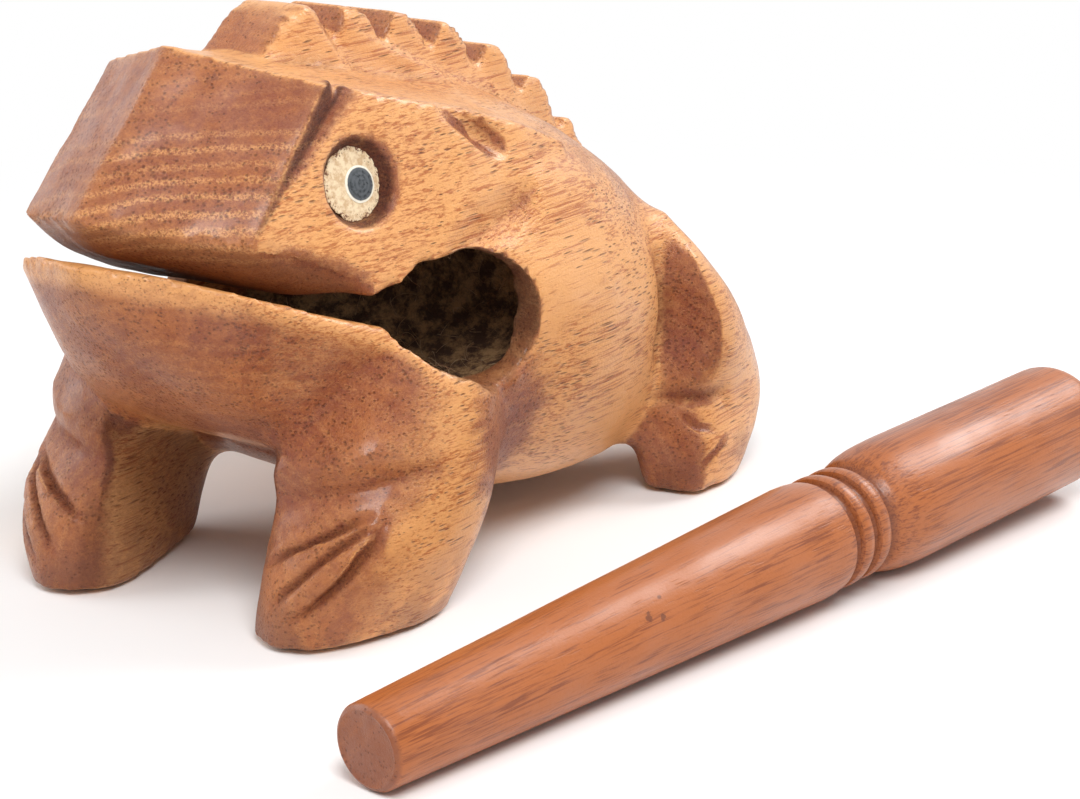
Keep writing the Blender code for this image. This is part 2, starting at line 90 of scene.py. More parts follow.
# Knife cuts on the left side, made on both: name, places along the cut, width, depth, and how red it is
CUTS = (
    ("lip", ((21.5, -52, 58.8), (25, -45, 56), (28.5, -38.5, 53.2), (30.2, -35, 50.6)), 3.4, 1.3, 0.6),
    ("temple", ((31.9, 0.8, 59.1), (31.6, -7.3, 56.5), (30.7, -14.1, 53.9), (30.2, -19.5, 51.6)), 5, 1.1, 0),
    ("brow", ((26.3, -13.5, 73.6), (28.0, -7.0, 69.5), (28.8, -3.5, 66.5)), 1.4, 0.2, 0.8),
    ("inner toe", ((31.0, -41.0, 18.5), (25.5, -46.5, 16.0), (17.5, -48.0, 11.5)), 1.7, 1.9, 1.0),
    ("middle toe", ((31.5, -41.0, 17.5), (27.0, -48.0, 13.0), (21.0, -51.5, 7.0)), 1.7, 1.9, 1.0),
    ("outer toe", ((33.0, -40.5, 18.0), (31.0, -46.5, 12.0), (25.0, -52.0, 5.5)), 1.8, 2.0, 1.0),
    ("wrist", ((17, -42.5, 21), (27.8, -42, 22.6), (33.1, -36.3, 24), (35.5, -30, 24.5)), 3.2, 0.9, 0.35),
    ("haunch", ((34.0, 38.5, 42.0), (37.0, 39.5, 33.0), (36.3, 37.0, 24.0)), 5.0, 2.2, 0.35),
    ("ankle", ((35.0, 34.5, 18.0), (39.0, 41.0, 17.0), (43.0, 49.0, 15.5)), 2.6, 1.4, 0.5),
    ("heel", ((37.5, 39.0, 14.5), (39.8, 41.0, 12.0), (42.0, 44.0, 11.5)), 1.3, 0.7, 0.8),
    ("sole", ((40.0, 40.0, 5.5), (42.2, 43.0, 7.5), (42.6, 47.0, 9.5)), 1.2, 0.6, 0.8),
)

# Eye: the middle of its recess on the left cheek, the cheek's outward direction, and the paint in the recess
EYE = Vector((24.17, -32.0, 65.8))
CHEEK = Vector((0.9533, -0.1968, 0.2293)).normalized()
EYE_RADIUS = 7.0
PAINT_RADIUS = 5.35
PAINT_DEPTH = 2.2
PUPIL_RADIUS = 2.75
PUPIL_SHIFT = Vector((0.0, 1.35, -0.35))

# Snout notch on the left side: its point by the lip, its top by the prow's corner, and its top back edge
NOTCH_TIP = Vector((21.08, -52.24, 61.26))
NOTCH_TOP = Vector((20.3, -34.3, 79.9))
NOTCH_BACK = Vector((21.745, -27.3, 79.9))
NOTCH_DEPTH = 2.9
NOTCH_ROOT = 0.84
# The solid's own notch is this deep and has its root at this share of the width
SOLID_NOTCH_DEPTH = 5.5
SOLID_NOTCH_ROOT = 0.25

# Upper edge of the lower lip as (y, z), with the golden band under it
LOWER_LIP = ((-66.6, 57.9), (-52.5, 53.0), (-42.0, 48.4), (-32.8, 45.0), (-28.3, 39.7), (-21.0, 35.4))
LIP_BAND = 4.2
# The mouth's roof hangs towards the middle like a keel
ROOF_DROP = 4.2
ROOF_BEVEL = 5.0
# Red end grain on the flank behind the front leg: middle and reach in y and z
FLANK_RED = (-12.0, 26.0)
FLANK_RED_REACH = (10.0, 14.0)

# Knot on the near facet of the snout
SNOUT_KNOT = (7.6, -44.2, 81.6)
# What both varnished woods share
SATIN = {"Coat Roughness": 0.2, "Specular IOR Level": 0.4}

# Stick
STICK_LENGTH = 163.0
STICK_END_RADIUS = 6.1
STICK_NECK_RADIUS = 9.2
STICK_NECK_SLOPE = 5.0
STICK_HANDLE_RADIUS = 10.4
STICK_HANDLE_LENGTH = 61.0
STICK_HANDLE_FLARE = 12.0
STICK_BEAD_WIDTH = 4.3
STICK_GROOVE_DEPTH = 1.3
STICK_GROOVE_HALF_WIDTH = 0.7
STICK_END_BEVEL = 0.8
STICK_ROUNDING = 5.0
STICK_WAVER = 0.07
STICK_SIDES = 112
STICK_NEAR_END = (59.6, -82.1)
STICK_HEADING = math.radians(11.0)
# Knots on the stick: place in its own frame, where its axis is Y, and radius
STICK_KNOTS = (((6.2, 47.2, 4.0), 0.75), ((6.9, 49.6, 3.2), 0.5), ((5.4, 50.6, 5.5), 0.4))

# Camera and light
CAMERA_PLACE = Vector((230.9, -314.9, 140.3))
CAMERA_LENS = 83.33
CAMERA_TURN = math.radians(32.0)
CAMERA_TILT = math.radians(17.0)
SKY_LIGHT = 0.36
LAMPS = (
    ("key_lamp", (330, -330, 560), 0.34, 3.3),
    ("back_lamp", (260, 430, 450), 0.32, 2.2),
    ("left_lamp", (-520, -200, 330), 0.5, 1.9),
)
LAMP_TARGET = (0, 0, 35)
FLOOR_HALF = 3.0
# The floor turns white for the camera between these distances from the middle, in metres
PAPER_FROM, PAPER_TO = 0.13, 0.34


def in_frame(point):
    """A point of the frog's own frame in mm as a point of the shared frame in metres."""
    return Vector(point) * MM + FROG


# Shader helpers


def join(tree, value, socket):
    """Links an output to the socket, or sets the socket's own value."""
    if isinstance(value, bpy.types.NodeSocket):
        tree.links.new(value, socket)
    else:
        socket.default_value = value


def fill(tree, node, inputs):
    """Fills a node's inputs, each with a value or another node's output."""
    for name, value in inputs.items():
        join(tree, value, node.inputs[name])
    return node


def add(tree, kind, inputs=None, **settings):
    """A node with its settings and inputs."""
    made = tree.nodes.new(kind)
    for name, value in settings.items():
        setattr(made, name, value)
    return fill(tree, made, inputs or {})


def maths(tree, operation, *values, clamp=False):
    """Result of a Math node."""
    made = add(tree, "ShaderNodeMath", dict(enumerate(values)), operation=operation, use_clamp=clamp)
    return made.outputs[0]


def times(tree, first, second, clamp=False):
    """Product of two values."""
    return maths(tree, "MULTIPLY", first, second, clamp=clamp)


def times_plus(tree, first, second, third, clamp=False):
    """Product of the first two values, plus the third."""
    return maths(tree, "MULTIPLY_ADD", first, second, third, clamp=clamp)


def rest(tree, value, whole=1.0):
    """What the value leaves of a whole, down to 0."""
    return maths(tree, "SUBTRACT", whole, value, clamp=True)


def vector_maths(tree, operation, *values):
    """Vector result of a Vector Math node."""
    return add(tree, "ShaderNodeVectorMath", dict(enumerate(values)), operation=operation).outputs["Vector"]


def span(tree, value, low, high, to_low=0.0, to_high=1.0):
    """The value mapped from one range to another with a smooth step."""
    limits = {"Value": value, "From Min": low, "From Max": high, "To Min": to_low, "To Max": to_high}
    return add(tree, "ShaderNodeMapRange", limits, interpolation_type="SMOOTHSTEP").outputs[0]


def blend(tree, amount, first, second):
    """Colour mixed from the first towards the second."""
    made = add(tree, "ShaderNodeMix", data_type="RGBA")
    for socket, value in ((0, amount), (6, first), (7, second)):
        join(tree, value, made.inputs[socket])
    return made.outputs[2]


def tint(tree, colour, mask, strength, tone):
    """Colour mixed towards a tone where the mask is, up to the strength."""
    return blend(tree, times(tree, mask, strength), colour, (*tone, 1.0))


def length(tree, vector):
    """Length of a vector."""
    return add(tree, "ShaderNodeVectorMath", {0: vector}, operation="LENGTH").outputs["Value"]


def bump(tree, shader, height, distance, strength=1.0):
    """Gives the shader a relief."""
    made = add(tree, "ShaderNodeBump", {"Height": height, "Distance": distance, "Strength": strength})
    fill(tree, shader, {"Normal": made.outputs[0]})


def grain_noise(tree, place, scale, detail=3.0, roughness=0.55, distortion=0.0):
    """Noise that is stretched by a scale for each axis."""
    inputs = {
        "Vector": vector_maths(tree, "MULTIPLY", place, scale),
        "Scale": 1.0,
        "Detail": detail,
        "Roughness": roughness,
        "Distortion": distortion,
    }
    return add(tree, "ShaderNodeTexNoise", inputs).outputs["Fac"]


def pits(tree, place, scale, reach):
    """Pits scattered in cells of the given scale: 1 in a pit's middle, 0 past its reach."""
    stretched = vector_maths(tree, "MULTIPLY", place, scale)
    cells = add(tree, "ShaderNodeTexVoronoi", {"Vector": stretched, "Scale": 1.0})
    depth = maths(tree, "DIVIDE", cells.outputs["Distance"], reach)
    return maths(tree, "POWER", rest(tree, depth), 0.6)


def new_group(name, inputs, outputs):
    """An empty shader node group with named sockets, what it is given, and its output node."""
    tree = bpy.data.node_groups.new(name, "ShaderNodeTree")
    for label, kind, value in inputs:
        socket = tree.interface.new_socket(label, in_out="INPUT", socket_type=kind)
        if value is not None:
            socket.default_value = value
    for label, kind in outputs:
        tree.interface.new_socket(label, in_out="OUTPUT", socket_type=kind)
    return tree, tree.nodes.new("NodeGroupInput").outputs, tree.nodes.new("NodeGroupOutput")


FLOAT, COLOUR, VECTOR = "NodeSocketFloat", "NodeSocketColor", "NodeSocketVector"


def timber_group():
    """Open-pored tropical wood: growth layers round a pith line along Y, and pores as dashes or dots."""
    tree, given, result = new_group(
        "timber",
        [
            ("Place", VECTOR, None),
            ("Across", FLOAT, 0.0),
            ("Pith", VECTOR, None),
            ("Light", COLOUR, None),
            ("Middle", COLOUR, None),
            ("End grain", COLOUR, None),
            ("Pore", COLOUR, None),
            ("Layer width", FLOAT, 3.0),
            ("Bands", FLOAT, 1.0),
            ("Dashes", FLOAT, 1.0),
        ],
        [("Colour", COLOUR), ("Height", FLOAT), ("Pores", FLOAT)],
    )
    place, across = given["Place"], given["Across"]
    # Distance from the wavering pith line, in layer widths
    slow = vector_maths(tree, "MULTIPLY", place, (0.03, 0.01, 0.03))
    waver = add(tree, "ShaderNodeTexNoise", {"Vector": slow, "Scale": 1.0, "Detail": 3.0}).outputs["Color"]
    shift = vector_maths(tree, "SUBTRACT", waver, (0.5, 0.5, 0.5))
    moved = vector_maths(tree, "MULTIPLY_ADD", shift, (9.0, 0.0, 9.0), place)
    from_pith = vector_maths(tree, "SUBTRACT", moved, given["Pith"])
    flat = vector_maths(tree, "MULTIPLY", from_pith, (1.0, 0.0, 1.0))
    layers = maths(tree, "DIVIDE", length(tree, flat), given["Layer width"])
    blur = times_plus(tree, grain_noise(tree, place, (0.9, 0.3, 0.9), 3.0), 0.5, layers)
    wave = times_plus(tree, maths(tree, "SINE", times(tree, blur, math.tau)), 0.5, 0.5)
    layer_place = add(tree, "ShaderNodeCombineXYZ", {"X": layers}).outputs[0]
    uneven = add(tree, "ShaderNodeTexNoise", {"Vector": layer_place, "Scale": 0.45, "Detail": 2.0})
    layer = times(tree, wave, span(tree, uneven.outputs["Fac"], 0.3, 0.62))
    # Along the grain: golden, with fine darker lines
    tone = grain_noise(tree, place, (0.06, 0.02, 0.06), 3.0)
    streak = grain_noise(tree, place, (1.5, 0.030, 1.5), 2.0, 0.6, 0.1)
    fibre = grain_noise(tree, place, (3.6, 0.08, 3.6), 2.0, 0.65)
    line = span(tree, times_plus(tree, layer, -0.08, streak), 0.32, 0.56)
    light = times_plus(tree, tone, 1.1, times(tree, line, 0.34))
    light = times_plus(tree, span(tree, fibre, 0.34, 0.58), 0.5, light)
    side = blend(tree, span(tree, light, 0.58, 1.20), given["Middle"], given["Light"])
    # Across the grain: redder and mottled, with light speckles in bands along the layers
    speck = grain_noise(tree, place, (2.9, 2.3, 2.9), 3.0, 0.8)
    mottle = grain_noise(tree, place, (0.7, 0.5, 0.7), 5.0, 0.8)
    red_tone = times_plus(tree, mottle, 0.9, times(tree, tone, 0.7))
    red_tone = times_plus(tree, speck, 0.4, red_tone)
    end = blend(tree, span(tree, red_tone, 0.80, 1.24), given["End grain"], given["Middle"])
    band = times(tree, span(tree, layer, 0.1, 0.8, 0.1, 1.0), span(tree, speck, 0.40, 0.60))
    banded = times(tree, band, given["Bands"], clamp=True)
    end = blend(tree, banded, end, given["Light"])
    colour = blend(tree, across, side, end)
    # Pores: long dashes along the grain, small dots across it
    crowd = grain_noise(tree, place, (0.1, 0.05, 0.1), 2.0)
    dash = pits(tree, place, (1.9, 0.15, 1.9), span(tree, crowd, 0.36, 0.66, 0.08, 0.34))
    dash = times(tree, dash, rest(tree, across, given["Dashes"]))
    dot = pits(tree, place, (1.45, 1.05, 1.45), span(tree, crowd, 0.34, 0.62, 0.14, 0.38))
    dot = times(tree, dot, times_plus(tree, across, 0.85, 0.1))
    pore = maths(tree, "MAXIMUM", dash, dot)
    colour = blend(tree, times(tree, pore, 0.78), colour, given["Pore"])
    height = times_plus(tree, pore, -1.0, times(tree, fibre, 0.3))
    height = times_plus(tree, times(tree, speck, across), 1.1, height)
    fill(tree, result, {"Colour": colour, "Height": height, "Pores": pore})
    return tree


def varnish_group():
    """Satin varnish that has sunk into the pores: roughness and coat that vary over the surface."""
    tree, given, result = new_group(
        "varnish",
        [("Place", VECTOR, None), ("Pores", FLOAT, 0.0), ("Roughness", FLOAT, 0.35)],
        [("Roughness", FLOAT), ("Coat", FLOAT), ("Height", FLOAT)],
    )
    patches = grain_noise(tree, given["Place"], (0.11, 0.07, 0.11), 3.0)
    grit = grain_noise(tree, given["Place"], (2.6, 1.7, 2.6), 3.0, 0.65)
    rough = times_plus(tree, patches, 0.22, given["Roughness"])
    rough = times_plus(tree, given["Pores"], 0.3, rough, clamp=True)
    coat = span(tree, patches, 0.36, 0.64, 0.0, 0.4)
    fill(tree, result, {"Roughness": rough, "Coat": coat, "Height": grit})
    return tree


def knot_group():
    """Small knot: a ragged dark mark, broken up, with a lighter heart."""
    tree, given, result = new_group(
        "knot",
        [("Place", VECTOR, None), ("Middle", VECTOR, None), ("Radius", FLOAT, 1.0)],
        [("Ring", FLOAT), ("Heart", FLOAT)],
    )
    ragged = grain_noise(tree, given["Place"], (1.1, 0.8, 1.1), 4.0, 0.75)
    away = vector_maths(tree, "SUBTRACT", given["Place"], given["Middle"])
    share = maths(tree, "DIVIDE", length(tree, away), given["Radius"])
    share = maths(tree, "ADD", share, times(tree, maths(tree, "SUBTRACT", ragged, 0.5), 3.2))
    fill(tree, result, {"Ring": span(tree, share, 1.15, 0.6), "Heart": span(tree, share, 0.3, 0.0)})
    return tree


def group_node(tree, group, inputs):
    """The outputs of the group, placed in a tree."""
    made = tree.nodes.new("ShaderNodeGroup")
    made.node_tree = group
    return fill(tree, made, inputs).outputs


def new_material(name):
    """A material with nodes, its tree and its shader."""
    material = bpy.data.materials.new(name)
    material.use_nodes = True
    return material, material.node_tree, material.node_tree.nodes["Principled BSDF"]


def local_place(tree, start, turn=(0.0, 0.0, 0.0)):
    """The place on a piece in mm, from its start and along its own axes."""
    coordinates = add(tree, "ShaderNodeTexCoord").outputs["Object"]
    inputs = {"Vector": coordinates, "Location": start, "Rotation": turn, "Scale": (MM, MM, MM)}
    return add(tree, "ShaderNodeMapping", inputs, vector_type="TEXTURE").outputs[0]


def attribute(tree, name):
    """A mask that is kept on the mesh's points."""
    return add(tree, "ShaderNodeAttribute", attribute_name=name).outputs["Fac"]


def carved_wood(timber, varnish, knot):
    """The frog's wood: golden along the grain, redder across it, dark in knife cuts and drilled places, with
    painted shade in its creases, its snout notches, under the mouth's roof, in the hole and on the inner
    sides of the front legs.
    """
    material, tree, shader = new_material("carved_wood")
    place = local_place(tree, FROG)
    normal = add(tree, "ShaderNodeNewGeometry").outputs["Normal"]
    facing = maths(tree, "ABSOLUTE", add(tree, "ShaderNodeSeparateXYZ", {0: normal}).outputs["Y"])
    ragged = grain_noise(tree, place, (0.35, 0.12, 0.35), 4.0, 0.65)
    across = span(tree, times_plus(tree, ragged, 0.42, facing), 0.44, 0.80)
    patchy = span(tree, times_plus(tree, ragged, 1.2, attribute(tree, "red")), 0.7, 1.2)
    across = maths(tree, "MAXIMUM", across, patchy)
    gold = times(tree, attribute(tree, "gold"), span(tree, ragged, 0.30, 0.55, 0.45, 0.9))
    across = times(tree, across, rest(tree, gold))
    place_parts = add(tree, "ShaderNodeSeparateXYZ", {0: place}).outputs
    # Growth layers show as arcs of light specks on the lower part of the prow
    on_prow = span(tree, place_parts["Y"], -30.0, -40.0)
    for axis, *limits in (("Z", 78.0, 71.0), ("Z", 55.0, 59.0), ("X", -1.0, 1.0, 0.4, 1.0)):
        on_prow = times(tree, on_prow, span(tree, place_parts[axis], *limits))
    bands = times_plus(tree, on_prow, 0.6, 0.2)
    wood = group_node(tree, timber, {
        "Place": place,
        "Across": across,
        "Pith": (11.0, 0.0, 2.0),
        "Light": (0.75, 0.355, 0.125, 1.0),
        "Middle": (0.44, 0.135, 0.034, 1.0),
        "End grain": (0.235, 0.048, 0.015, 1.0),
        "Pore": (0.085, 0.020, 0.008, 1.0),
        "Layer width": 2.0,
        "Bands": bands,
    })
    finish = group_node(tree, varnish, {"Place": place, "Pores": wood["Pores"], "Roughness": 0.25})
    worn, hollow, inside, eye_recess_and_shade = (attribute(tree, name) for name in ("worn", "hollow", "inside", "eye_recess_and_shade"))
    splinters = grain_noise(tree, place, (2.4, 0.9, 2.4), 4.0, 0.75)
    colour = tint(tree, wood["Colour"], worn, 0.35, (0.74, 0.35, 0.12))
    # Grooves are reddish and uneven, and concave creases are darkened as painted shade
    colour = tint(tree, colour, hollow, span(tree, splinters, 0.3, 0.62, 0.95, 0.4), (0.13, 0.028, 0.011))
    # Painted shade on the notch's front wall, the middle of the mouth's roof, the hole's upper wall and the
    # front legs' inner sides, with the eye recesses darker too
    colour = tint(tree, colour, eye_recess_and_shade, span(tree, splinters, 0.3, 0.7, 1.0, 0.55), (0.055, 0.014, 0.008))
    # Darker in patches towards the soles
    low_patches = grain_noise(tree, place, (0.16, 0.12, 0.16), 3.0)
    low_darkening = times(tree, span(tree, place_parts["Z"], 16.0, 0.0), span(tree, low_patches, 0.40, 0.62))
    colour = tint(tree, colour, low_darkening, 0.55, (0.17, 0.055, 0.03))
    # Bare, dusty wood inside
    dust = grain_noise(tree, place, (0.28, 0.5, 0.28), 5.0, 0.75)
    bare = blend(tree, span(tree, dust, 0.4, 0.66), (0.062, 0.024, 0.010, 1.0), (0.44, 0.25, 0.11, 1.0))
    colour = blend(tree, inside, colour, bare)
    # Knot on the near facet of the snout
    mark = group_node(tree, knot, {"Place": place, "Middle": SNOUT_KNOT, "Radius": 1.5})
    colour = tint(tree, colour, mark["Ring"], 0.7, (0.16, 0.04, 0.02))
    colour = tint(tree, colour, mark["Heart"], 0.6, (0.75, 0.45, 0.28))
    rough = finish["Roughness"]
    for mask, more in ((hollow, 0.3), (inside, 0.6), (eye_recess_and_shade, 0.3)):
        rough = times_plus(tree, mask, more, rough, clamp=True)
    bare_part = maths(tree, "MAXIMUM", maths(tree, "MAXIMUM", inside, hollow), eye_recess_and_shade)
    coat = times(tree, finish["Coat"], rest(tree, bare_part))
    fill(tree, shader, {"Base Color": colour, "Roughness": rough, "Coat Weight": coat, **SATIN})
    height = times_plus(tree, finish["Height"], 0.5, wood["Height"])
    height = times_plus(tree, times(tree, splinters, bare_part), 3.0, height)
    bump(tree, shader, height, CARVED_RELIEF)
    return material


def turned_wood(timber, varnish, knot, start, turn):
    """The stick's wood: redder, finer grained and evenly varnished, with small knots."""
    material, tree, shader = new_material("turned_wood")
    place = local_place(tree, start, turn)
    wood = group_node(tree, timber, {
        "Place": place,
        "Across": attribute(tree, "end"),
        "Pith": (-34.0, 0.0, 26.0),
        "Light": (0.42, 0.122, 0.030, 1.0),
        "Middle": (0.23, 0.056, 0.014, 1.0),
        "End grain": (0.27, 0.080, 0.030, 1.0),
        "Pore": (0.12, 0.026, 0.008, 1.0),
        "Layer width": 1.9,
        "Bands": 0.35,
        "Dashes": 0.45,
    })
    finish = group_node(tree, varnish, {"Place": place, "Pores": wood["Pores"], "Roughness": 0.27})
    colour = tint(tree, wood["Colour"], attribute(tree, "groove"), 0.7, (0.12, 0.026, 0.009))
    for middle, radius in STICK_KNOTS:
        mark = group_node(tree, knot, {"Place": place, "Middle": middle, "Radius": radius})
        colour = tint(tree, colour, mark["Ring"], 0.7, (0.10, 0.025, 0.01))
    rough, coat = finish["Roughness"], finish["Coat"]
    fill(tree, shader, {"Base Color": colour, "Roughness": rough, "Coat Weight": coat, **SATIN})
    height = times_plus(tree, finish["Height"], 0.4, wood["Height"])
    bump(tree, shader, height, TURNED_RELIEF)
    return material


def eye_paint():
    """Thick cream paint, worn through to the wood in flecks near its edge."""
    material, tree, shader = new_material("eye_paint")
    place = local_place(tree, FROG)
    rim = attribute(tree, "rim")
    cloud = grain_noise(tree, place, (0.9, 0.9, 0.9), 4.0, 0.7)
    fleck = grain_noise(tree, place, (1.7, 1.7, 1.7), 3.0, 0.75)
    colour = blend(tree, span(tree, cloud, 0.36, 0.60), (0.60, 0.40, 0.22, 1.0), (0.82, 0.66, 0.44, 1.0))
    edge = maths(tree, "POWER", rim, 5.0)
    worn = times_plus(tree, edge, 0.22, fleck)
    colour = blend(tree, span(tree, worn, 0.68, 0.76), colour, (0.17, 0.06, 0.025, 1.0))
    fill(tree, shader, {"Base Color": colour, "Roughness": span(tree, cloud, 0.3, 0.7, 0.3, 0.5)})
    bump(tree, shader, cloud, TURNED_RELIEF, 0.8)
    return material


def pupil_paint():
    """Slate-grey pupil with faint rings, and a bright line round it."""
    material, tree, shader = new_material("pupil_paint")
    rim = attribute(tree, "rim")
    cloud = grain_noise(tree, local_place(tree, FROG), (1.4, 1.4, 1.4), 3.0)
    rings = times_plus(tree, maths(tree, "SINE", times(tree, rim, 26.0)), 0.5, 0.5)
    shade = times_plus(tree, rings, 0.3, cloud)
    colour = blend(tree, span(tree, shade, 0.3, 0.9), (0.018, 0.022, 0.026, 1.0), (0.085, 0.095, 0.105, 1.0))
    edge = span(tree, rim, 0.84, 0.90)
    colour = blend(tree, edge, colour, (0.88, 0.83, 0.70, 1.0))
    fill(tree, shader, {"Base Color": colour, "Roughness": span(tree, cloud, 0.3, 0.7, 0.22, 0.42)})
    return material


def fibre_wood():
    """Torn wood fibres and lint: pale brown and dull."""
    material, tree, shader = new_material("fibre_wood")
    tone = grain_noise(tree, local_place(tree, FROG), (0.6, 0.6, 0.6), 2.0)
    colour = blend(tree, span(tree, tone, 0.35, 0.65), (0.20, 0.095, 0.04, 1.0), (0.48, 0.33, 0.19, 1.0))
    fill(tree, shader, {"Base Color": colour, "Roughness": 0.8})
    return material


# Carving


def rows_of(items, key, width, kind=np.float32):
    """One value of all items of a mesh, as rows."""
    flat = np.empty(len(items) * width, kind)
    items.foreach_get(key, flat)
    return flat.reshape(-1, width)


def normals_of(mesh):
    return rows_of(mesh.vertex_normals, "vector", 3).astype(float)


def set_points(mesh, points):
    mesh.vertices.foreach_set("co", points.astype(np.float32).ravel())
    mesh.update()


def neighbour_mean(values, edges):
    """Mean of each point's neighbours."""
    count = len(values)
    a, b = edges.T
    degree = np.bincount(a, minlength=count) + np.bincount(b, minlength=count)
    sums = [np.bincount(a, column[b], count) + np.bincount(b, column[a], count) for column in values.T]
    return np.stack(sums, axis=1) / np.maximum(degree, 1)[:, None]


def smooth(values, edges, rounds, share=0.5):
    """Values moved towards their neighbours' mean. The share may differ from point to point."""
    for _ in range(rounds):
        values = values + share * (neighbour_mean(values, edges) - values)
    return values


def keep_mask(mesh, name, values):
    """Keeps a value for each point on the mesh, for its material or for Geometry Nodes."""
    mesh.attributes.new(name, "FLOAT", "POINT").data.foreach_set("value", np.asarray(values, np.float32))


def point_tree(places):
    """A tree that finds the nearest of the places."""
    tree = KDTree(len(places))
    for index, place in enumerate(places):
        tree.insert(place, index)
    tree.balance()
    return tree


def spaced(a, b, step):
    """Points from one place to another, about a step apart."""
    steps = max(2, int((b - a).length / step))
    return [a.lerp(b, k / steps) for k in range(steps + 1)]


def sharp_tree(mesh):
    """A tree of points along the solid's sharp edges."""
    work = bmesh.new()
    work.from_mesh(mesh)
    places = []
    for edge in work.edges:
        if len(edge.link_faces) == 2 and edge.calc_face_angle(0.0) > SHARP_ANGLE:
            places += spaced(*(v.co for v in edge.verts), EDGE_STEP * MM)
    work.free()
    return point_tree(places)


def welded_copy(node):
    """A copy of a CAD node's mesh with its loose triangles joined."""
    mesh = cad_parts[node].data.copy()
    work = bmesh.new()
    work.from_mesh(mesh)
    bmesh.ops.remove_doubles(work, verts=work.verts, dist=WELD_DISTANCE * MM)
    work.to_mesh(mesh)
    work.free()
    mesh.materials.clear()
    return mesh


def closed_mesh(name, vertices, faces):
    """A closed mesh whose faces all point outwards."""
    mesh = bpy.data.meshes.new(name)
    mesh.from_pydata(vertices, [], faces)
    work = bmesh.new()
    work.from_mesh(mesh)
    bmesh.ops.recalc_face_normals(work, faces=work.faces)
    work.to_mesh(mesh)
    work.free()
    return mesh


def ring_faces(a, b, sides):
    """Faces between two rings of points, each given by the number of its first point."""
    return [(a + k, b + k, b + (k + 1) % sides, a + (k + 1) % sides) for k in range(sides)]


def fan_faces(ring, middle, sides):
    """Faces from a ring of points to a middle point."""
    return [(ring + k, ring + (k + 1) % sides, middle) for k in range(sides)]


def linked(name, mesh):
    """An object at the origin with the mesh."""
    obj = bpy.data.objects.new(name, mesh)
    bpy.context.scene.collection.objects.link(obj)
    return obj


def plain_mesh(obj, name):
    """The mesh that the object's modifiers make. The object itself goes."""
    graph = bpy.context.evaluated_depsgraph_get()
    mesh = bpy.data.meshes.new_from_object(obj.evaluated_get(graph))
    bpy.data.objects.remove(obj)
    mesh.name = name
    return mesh


def shown(name, mesh, material, node=None):
    """A finished piece, which may stand for a CAD node."""
    obj = linked(name, mesh)
    mesh.materials.clear()
    mesh.materials.append(material)
    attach(obj, "root")
    if node:
        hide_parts(node)
    return obj


def fine_block(solid, edge_tree, near_cut):
    """Even grid of faces over the solid, finer along its sharp edges and knife cuts."""
    block = linked("block", solid)
    remesh = block.modifiers.new("grid", "REMESH")
    remesh.mode = "VOXEL"
    remesh.voxel_size = GRID * MM
    mesh = plain_mesh(block, "carved_frog")
    work = bmesh.new()
    work.from_mesh(mesh)
    close = {v for v in work.verts if edge_tree.find(v.co)[2] < FINE_BAND * MM or near_cut(v.co)}
    chosen = [e for e in work.edges if e.verts[0] in close and e.verts[1] in close]
    bmesh.ops.subdivide_edges(work, edges=chosen, cuts=1, use_grid_fill=True)
    work.to_mesh(mesh)
    work.free()
    return mesh


def cut_lines(surface):
    """Each knife cut of both sides: a line of close points on the surface, its width, depth and redness."""
    lines = []
    for _, stops, width, depth, red in CUTS:
        for side in (1, -1):
            places = [Vector((side * x, y, z)) for x, y, z in stops]
            line = []
            for a, b in zip(places, places[1:]):
                line += spaced(a, b, CUT_STEP)[:-1]
            line.append(places[-1])
            on_surface = [(surface.find_nearest(in_frame(p))[0] - FROG) / MM for p in line]
            lines.append((smooth_line(on_surface), width, depth, red))
    return lines


def smooth_line(places):
    """A line with its corners eased."""
    line = np.array(places)
    for _ in range(6):
        line[1:-1] = 0.5 * line[1:-1] + 0.25 * (line[:-2] + line[2:])
    return line


def cut_depths(local, lines):
    """How deep the knife cuts go at each point in mm, and how red the cuts leave it."""
    depths, reds = np.zeros(len(local)), np.zeros(len(local))
    for line, width, depth, red in lines:
        low, high = line.min(axis=0) - width, line.max(axis=0) + width
        chosen = np.flatnonzero(((local > low) & (local < high)).all(axis=1))
        away = np.linalg.norm(local[chosen, None, :] - line[None, :, :], axis=2)
        nearest = away.argmin(axis=1)
        share = ramp(away.min(axis=1), width, 0.0)
        fade = np.sin(np.pi * np.clip((nearest + 1) / (len(line) + 1), 0, 1)) ** 0.5
        shape = share * share * (1.6 - 0.6 * share)
        depths[chosen] = np.maximum(depths[chosen], depth * shape * fade)
        reds[chosen] = np.maximum(reds[chosen], red * np.clip(share * 2.2, 0, 1) * fade)
    return depths, reds


def ramp(value, start, end):
    """0 as far as the start, 1 beyond the end, and even in between. Either may be the higher one."""
    return np.clip((value - start) / (end - start), 0, 1)


def hole_wall(local, normals):
    """1 on the wall of the round hole, which faces its axis."""
    x, y, z = local.T
    from_hole = np.maximum(np.hypot(y - HOLE_Y, z - HOLE_Z), 0.1)
    facing = -(normals[:, 1] * (y - HOLE_Y) + normals[:, 2] * (z - HOLE_Z)) / from_hole
    close = ramp(from_hole, HOLE_RADIUS + 5.0, HOLE_RADIUS + 3.0) * (np.abs(x) > 15.0)
    return ramp(facing, 0.35, 0.65) * close


def hollow_mask(local, normals):
    """How far each point is inside the frog's hollow."""
    x, y, z = local.T
    from_chamber = np.hypot(y - CHAMBER_Y, z - HOLE_Z)
    inside = ramp(from_chamber, CHAMBER_RADIUS + 1.0, CHAMBER_RADIUS - 0.5)
    inside *= ramp(np.abs(x), CHAMBER_HALF_WIDTH, CHAMBER_HALF_WIDTH - 2.0)
    return np.maximum(inside, 0.3 * hole_wall(local, normals))


